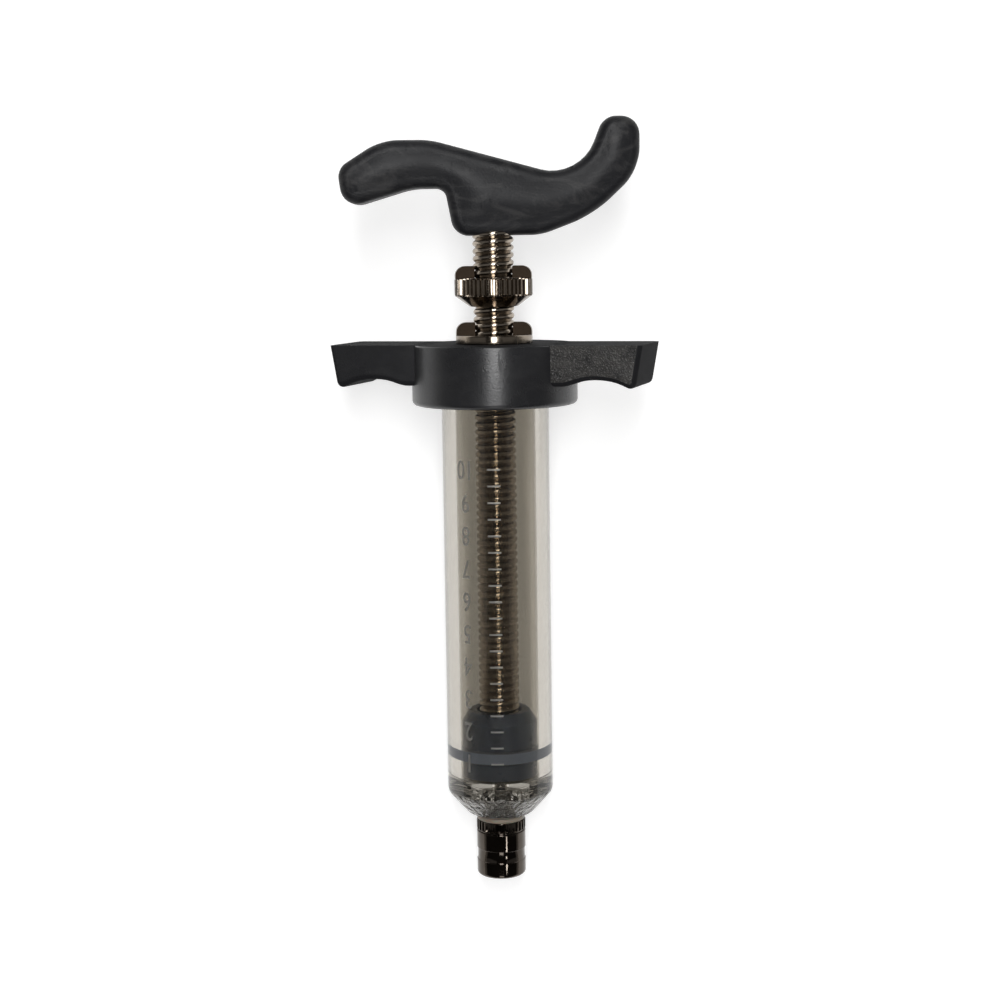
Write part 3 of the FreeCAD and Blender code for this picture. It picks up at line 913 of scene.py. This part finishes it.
@dataclass
class EaredPart:
    """Turned metal part with two ears on its upper face, as guide bush and dose nut are."""

    radius: float
    bore: float
    ears_foot: float
    ears_top: float
    between_flats: float = 3.4
    rounding: float = 1.7
    overlap: float = 0.4

    def ears(self) -> bmesh.types.BMesh:
        """Build the two ears: a disc with a bore and two flats.

        Returns:
            The ears, whose flats have material index 1.
        """
        bm = lathe([
            (self.bore, self.ears_foot - self.overlap, 0.0),
            (self.radius - 0.2, self.ears_foot - self.overlap, 0.0),
            (self.radius, self.ears_foot, 0.0),
            (self.radius, self.ears_top, self.rounding),
            (self.bore, self.ears_top, 0.25),
        ])
        cut_away(bm, (0, self.between_flats / 2, 0), (0, 1, 0))
        cut_away(bm, (0, -self.between_flats / 2, 0), (0, -1, 0))
        bmesh.ops.recalc_face_normals(bm, faces=bm.faces[:])
        # The flats take the rougher metal, darker in colour as painted shade.
        for face in bm.faces:
            face.material_index = 1 if abs(face.normal.y) > FACING else 0
        return bm


@dataclass
class GuideBush(EaredPart):
    """Metal bush in the middle of the flange."""

    radius: float = 7.0
    bore: float = 3.8
    ears_foot: float = 100.8
    ears_top: float = 103.1
    seat: float = 99.2
    spigot_radius: float = 5.0
    spigot_length: float = 2.0

    def build(self, shop: Workshop) -> None:
        """Build the bush."""
        spigot_foot = self.seat - self.spigot_length
        bm = lathe([
            (self.bore, spigot_foot, 0.1),
            (self.spigot_radius, spigot_foot, 0.2),
            (self.spigot_radius, self.seat, 0.0),
            (self.radius, self.seat, 0.2),
            (self.radius, self.ears_foot, 0.3),
            (self.bore, self.ears_foot, 0.2),
        ])
        add_to(bm, self.ears())
        shop.piece(
            bm, "eared_bush", Body.BARREL, shop.finishes.metal, ("guide_bush",),
            others=(shop.finishes.dull_metal,),
        )


@dataclass
class DoseNut(EaredPart):
    """Toothed nut on the rod."""

    radius: float = 7.05
    bore: float = 3.8
    ears_foot: float = 111.0
    ears_top: float = 113.2
    foot: float = 105.9
    band_foot: float = 107.85
    cone_radius: float = 4.4
    teeth: int = 48
    tooth_depth: float = 0.4

    def build(self, shop: Workshop) -> None:
        """Build the nut."""
        bm = lathe([
            (self.bore, self.foot, 0.2),
            (self.cone_radius, self.foot, 0.2),
            (self.radius - 0.1, self.band_foot - 0.1, 0.15),
            (self.radius, self.band_foot + 0.2, 0.1),
            (self.radius, self.ears_foot - 0.25, 0.1),
            (self.radius - 0.3, self.ears_foot, 0.1),
            (self.bore, self.ears_foot, 0.2),
        ], steps=self.teeth * FACETS_PER_TOOTH)
        tooth(
            bm, self.teeth, self.radius, self.band_foot + 0.15, self.ears_foot - 0.2,
            self.tooth_depth,
        )
        add_to(bm, self.ears())
        shop.piece(
            bm, "toothed_nut", Body.DOSE_STOP, shop.finishes.metal, ("dose_nut",),
            others=(shop.finishes.dull_metal,),
        )


@dataclass
class Piston:
    """Two halves with a sealing ring between them."""

    face: float = 19.5
    seal_foot: float = 22.6
    rear_foot: float = 25.1
    rim: float = 29.9
    top: float = 31.7
    radius: float = 6.95
    joining_radius: float = 5.0
    joining_height: float = 4.0
    pocket_radius: float = 3.8
    pocket_depth: float = 0.7
    seal_radius: float = 7.32
    seal_lip_radius: float = 7.0
    seal_lip_height: float = 0.25
    seal_bore: float = 5.1
    rear_bore: float = 5.05
    rear_bore_depth: float = 5.1
    bevelled_radius: float = 5.6
    cup_radius: float = 4.15
    cup_depth: float = 3.0
    journal_hole: float = 2.55

    def build(self, shop: Workshop) -> None:
        """Build the halves and the seal."""
        joining_top = self.seal_foot + self.joining_height
        pocket_foot = self.seal_foot - self.pocket_depth
        front = lathe([
            (0.0, self.face, 0.0),
            (self.radius, self.face, 0.35),
            (self.radius, self.seal_foot, 0.15),
            (self.joining_radius, self.seal_foot, 0.1),
            (self.joining_radius, joining_top, 0.1),
            (self.pocket_radius, joining_top, 0.1),
            (self.pocket_radius, pocket_foot, 0.2),
            (0.0, pocket_foot, 0.0),
        ])
        shop.piece(
            front, "piston_nose", Body.PISTON, shop.finishes.piston,
            ("piston_front",),
        )
        seal = lathe([
            (self.seal_bore, self.seal_foot, 0.1),
            (self.seal_lip_radius, self.seal_foot, 0.2),
            (self.seal_radius, self.seal_foot + self.seal_lip_height, 0.2),
            (self.seal_radius, self.rear_foot - self.seal_lip_height, 0.2),
            (self.seal_lip_radius, self.rear_foot, 0.2),
            (self.seal_bore, self.rear_foot, 0.1),
        ], steps=160)
        shop.piece(
            seal, "sealing_ring", Body.PISTON, shop.finishes.seal, ("piston_seal",),
        )
        cup_foot = self.top - self.cup_depth
        rear_bore_top = self.top - self.rear_bore_depth
        rear = lathe([
            (self.rear_bore, self.rear_foot, 0.1),
            (self.radius, self.rear_foot, 0.15),
            (self.radius, self.rim, 0.3),
            (self.bevelled_radius, self.top, 0.3),
            (self.cup_radius, self.top, 0.3),
            (self.cup_radius, cup_foot, 0.3),
            (self.journal_hole, cup_foot, 0.1),
            (self.journal_hole, rear_bore_top, 0.1),
            (self.rear_bore, rear_bore_top, 0.1),
        ])
        shop.piece(
            rear, "piston_back", Body.PISTON, shop.finishes.piston, ("piston_rear",),
        )


@dataclass
class PistonRod:
    """Threaded rod with the journal that turns in the piston."""

    radius: float = 3.75
    root: float = 3.25
    pitch: float = 1.36
    foot: float = 28.75
    top: float = 129.1
    journal: float = 2.5
    journal_foot: float = 26.4
    screw_hole: float = 1.55
    overlap: float = 0.2

    def build(self, shop: Workshop) -> None:
        """Build the rod and dress its end screw and washer."""
        bm = helix(self.root, self.radius, self.pitch, self.foot, self.top)
        add_to(bm, lathe([
            (self.screw_hole, self.journal_foot, 0.1),
            (self.journal, self.journal_foot, 0.1),
            (self.journal, self.foot + self.overlap, 0.0),
            (self.screw_hole, self.foot + self.overlap, 0.0),
        ], steps=64))
        shop.piece(
            bm, "threaded_rod", Body.ROD, shop.finishes.rod_metal, ("piston_rod",),
        )
        shop.dress("rod_end_screw", shop.finishes.metal)
        shop.dress("rod_washer", shop.finishes.metal)


@dataclass
class Handle:
    """Charcoal S-shaped palm handle.

    Attributes:
        outline: across, up from the foot and radius of each corner.
    """

    foot: float = 118.6
    palm_thickness: float = 13.6
    horn_thickness: float = 7.8
    left_reach: float = 27.5
    right_reach: float = 26.5
    rounding: float = 2.9
    right_top: float = 20.9
    dome: float = 1.5
    dome_reach: float = 9.0
    grid: float = 1.3
    grid_lines: int = 22
    outline: tuple = (
        (-6.9, 0.0, 3.0),
        (-8.5, 8.5, 2.0),
        (-14.25, 8.5, 12.0),
        (-26.6, 4.9, 3.2),
        (-27.5, 12.1, 2.8),
        (-19.7, 17.0, 10.0),
        (-11.0, 17.0, 14.0),
        (15.7, 9.7, 8.0),
        (20.1, 20.9, 3.0),
        (26.5, 20.9, 3.3),
        (26.5, 11.3, 9.0),
        (18.2, 3.5, 20.0),
        (8.8, 0.0, 10.0),
    )

    def raise_face(self, bm: bmesh.types.BMesh, broad: bmesh.types.BMFace) -> None:
        """Dome one broad face gently towards its middle.

        Args:
            bm: the handle with its rims rounded.
            broad: the face.
        """
        side = math.copysign(1.0, broad.normal.y)
        rim = [(edge.verts[0].co.copy(), edge.verts[1].co.copy()) for edge in broad.edges]
        parts = [broad, *broad.edges, *broad.verts]
        middle = self.foot + self.right_top / 2
        for line in range(-self.grid_lines, self.grid_lines + 1):
            for point, normal in (
                ((line * self.grid, 0, 0), (1, 0, 0)),
                ((0, 0, middle + line * self.grid), (0, 0, 1)),
            ):
                parts = bmesh.ops.bisect_plane(
                    bm, geom=parts, dist=1e-5, plane_co=point, plane_no=normal,
                )["geom"]
        for vert in (part for part in parts if isinstance(part, bmesh.types.BMVert)):
            near = self.dome_reach
            for low, high in rim:
                share = intersect_point_line(vert.co, low, high)[1]
                nearest = low.lerp(high, min(max(share, 0.0), 1.0))
                near = min(near, (vert.co - nearest).length)
            vert.co.y += side * self.dome * (1.0 - (1.0 - near / self.dome_reach) ** 2)

    def build(self, shop: Workshop) -> None:
        """Build the handle."""
        bm = bmesh.new()
        round_corners(bm, [(across, self.foot + up, radius) for across, up, radius in self.outline])
        thicken(bm, self.palm_thickness * 2)
        length = self.left_reach + self.right_reach
        slope = (self.palm_thickness - self.horn_thickness) / 2 / length
        palm = self.palm_thickness / 2 - self.dome
        cut_away(bm, (-self.left_reach, palm, 0), (slope, 1, 0))
        cut_away(bm, (-self.left_reach, -palm, 0), (slope, -1, 0))
        bmesh.ops.recalc_face_normals(bm, faces=bm.faces[:])
        rim = [
            edge for edge in bm.edges
            if sum(1 for face in edge.link_faces if abs(face.normal.y) > FACING) == 1
        ]
        bmesh.ops.bevel(
            bm, geom=rim, offset=self.rounding, offset_type="OFFSET", segments=8, profile=0.5,
            affect="EDGES", material=-1, clamp_overlap=True,
        )
        for broad in sorted(bm.faces, key=lambda face: -len(face.verts))[:2]:
            self.raise_face(bm, broad)
        shop.piece(
            bm, "palm_handle", Body.ROD, shop.finishes.palm_nylon, ("handle",),
        )


# Studio


@dataclass(frozen=True)
class Lamp:
    """One soft rectangular lamp.

    Attributes:
        name: the lamp's name.
        place: where it hangs, in metres.
        size: its two sides, in metres.
        power: in watts.
        aim: the point that it faces.
    """

    name: str
    place: tuple
    size: tuple
    power: float
    aim: tuple = (0.0, 0.0, 0.0)

    def hang(self) -> None:
        """Hang the lamp over the table."""
        data = bpy.data.lights.new(self.name, "AREA")
        data.shape = "RECTANGLE"
        data.size, data.size_y = self.size
        data.energy = self.power
        made = bpy.data.objects.new(self.name, data)
        made.location = self.place
        gaze = Vector(self.aim) - Vector(self.place)
        made.rotation_euler = gaze.to_track_quat("-Z", "Y").to_euler()
        bpy.context.scene.collection.objects.link(made)


@dataclass
class Studio:
    """Pale floor, dark ceiling, soft lamps and the camera over the syringe.

    Attributes:
        camera_place: across, along and over the table, in metres.
        lens: in millimetres on a 36 mm sensor.
        shift_y: the sensor's shift.
        roll: turn of the picture, in degrees.
        floor_colour: what the floor gives back of the lamps' light.
        floor_glow: how much of white it adds for the rays that see it.
        horizon: height and colour of the ramp's low end.
        ceiling: height and colour of the ramp's high end.
        backdrop: what the camera sees beyond the floor.
        backdrop_through: share of the backdrop for rays through the barrel.
        lamps: the soft lamps.
    """

    camera_place: tuple = (0.0007, 0.005815, 0.34615)
    lens: float = 64.8
    shift_y: float = -0.027
    roll: float = -0.8
    floor_colour: tuple = (0.55, 0.55, 0.55, 1.0)
    floor_glow: float = 0.62
    horizon: tuple = (0.1, (0.45, 0.44, 0.42, 1.0))
    ceiling: tuple = (0.22, (0.03, 0.028, 0.026, 1.0))
    backdrop: tuple = (0.9, 0.89, 0.87, 1.0)
    backdrop_through: float = 0.35
    lamps: tuple = (
        Lamp("over_soft", (0.0, 0.19, 0.9), (0.22, 0.7), 6.4, (0.0, 0.19, 0.0)),
        Lamp("far_soft", (0.0, 1.0, 0.9), (0.4, 0.9), 2.5),
        Lamp("near_soft", (0.0, -1.1, 0.9), (0.4, 0.8), 2.5),
        Lamp("hub_glint", (0.43, -0.54, 0.9), (0.1, 0.08), 0.3, (0.0, -0.07, 0.0)),
        Lamp("left_soft", (-1.0, 0.0, 0.75), (1.0, 1.4), 0.7),
        Lamp("right_soft", (1.0, 0.0, 0.75), (1.0, 1.4), 0.7),
    )

    def camera(self) -> None:
        """Place the camera over the table, looking straight down."""
        data = bpy.data.cameras.new("camera")
        data.lens = self.lens
        data.sensor_width = 36.0
        data.shift_y = self.shift_y
        made = bpy.data.objects.new("camera", data)
        made.location = self.camera_place
        made.rotation_euler = (0.0, 0.0, math.radians(self.roll))
        bpy.context.scene.collection.objects.link(made)
        bpy.context.scene.camera = made

    def floor(self) -> None:
        """Lay the floor, white for the camera, for reflections and through the clear barrel."""
        bm = bmesh.new()
        bmesh.ops.create_grid(bm, x_segments=1, y_segments=1, size=3.0)
        mesh = bpy.data.meshes.new("floor")
        bm.to_mesh(mesh)
        bm.free()
        made = bpy.data.objects.new("floor", mesh)
        bpy.context.scene.collection.objects.link(made)
        material = bpy.data.materials.new("pale_floor")
        material.use_nodes = True
        tree = material.node_tree
        links = tree.links
        shader = next(node for node in tree.nodes if node.type == "BSDF_PRINCIPLED")
        shader.inputs["Base Color"].default_value = self.floor_colour
        shader.inputs["Roughness"].default_value = 0.9
        shader.inputs["Emission Color"].default_value = (1.0, 1.0, 1.0, 1.0)
        seen = add_node(tree, "ShaderNodeLightPath", {})
        either = add_node(tree, "ShaderNodeMath", {}, operation="MAXIMUM")
        any_ray = add_node(tree, "ShaderNodeMath", {}, operation="MAXIMUM")
        share = add_node(tree, "ShaderNodeMath", {1: self.floor_glow}, operation="MULTIPLY")
        links.new(seen.outputs["Is Camera Ray"], either.inputs[0])
        links.new(seen.outputs["Is Glossy Ray"], either.inputs[1])
        links.new(either.outputs["Value"], any_ray.inputs[0])
        links.new(seen.outputs["Is Transmission Ray"], any_ray.inputs[1])
        links.new(any_ray.outputs["Value"], share.inputs[0])
        links.new(share.outputs["Value"], shader.inputs["Emission Strength"])
        mesh.materials.append(material)

    def world(self) -> None:
        """Light the syringe from a pale horizon under a darker ceiling."""
        made = bpy.data.worlds.new("studio")
        made.use_nodes = True
        bpy.context.scene.world = made
        tree = made.node_tree
        links = tree.links
        background = next(node for node in tree.nodes if node.type == "BACKGROUND")
        place = add_node(tree, "ShaderNodeTexCoord", {})
        split = add_node(tree, "ShaderNodeSeparateXYZ", {})
        ramp = add_node(tree, "ShaderNodeValToRGB", {})
        for stop, (height, colour) in zip(ramp.color_ramp.elements, (self.horizon, self.ceiling)):
            stop.position = height
            stop.color = colour
        seen = add_node(tree, "ShaderNodeLightPath", {})
        through = add_node(
            tree, "ShaderNodeMath", {1: self.backdrop_through}, operation="MULTIPLY",
        )
        either = add_node(tree, "ShaderNodeMath", {}, operation="MAXIMUM")
        pale = add_node(tree, "ShaderNodeMix", {"B": self.backdrop}, data_type="RGBA")
        links.new(place.outputs["Generated"], split.inputs["Vector"])
        links.new(split.outputs["Z"], ramp.inputs["Fac"])
        links.new(seen.outputs["Is Transmission Ray"], through.inputs[0])
        links.new(seen.outputs["Is Camera Ray"], either.inputs[0])
        links.new(through.outputs["Value"], either.inputs[1])
        links.new(either.outputs["Value"], pale.inputs["Factor"])
        links.new(ramp.outputs["Color"], pale.inputs["A"])
        links.new(pale.outputs["Result"], background.inputs["Color"])

    def build(self) -> None:
        """Set up the studio."""
        self.camera()
        self.floor()
        self.world()
        for lamp in self.lamps:
            lamp.hang()


def main() -> None:
    """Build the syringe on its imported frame."""
    logging.basicConfig(level=logging.INFO, format="%(message)s")
    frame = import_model()
    scene = bpy.context.scene
    scene.view_settings.view_transform = "Standard"
    shop = Workshop(frame, Lie.from_joints(frame["joints"]), Finishes())
    Studio().build()
    for part in (
        NeedleHub(), Barrel(), FingerFlange(), GuideBush(), DoseNut(), Piston(), PistonRod(),
        Handle(),
    ):
        part.build(shop)


if __name__ == "__main__":
    main()
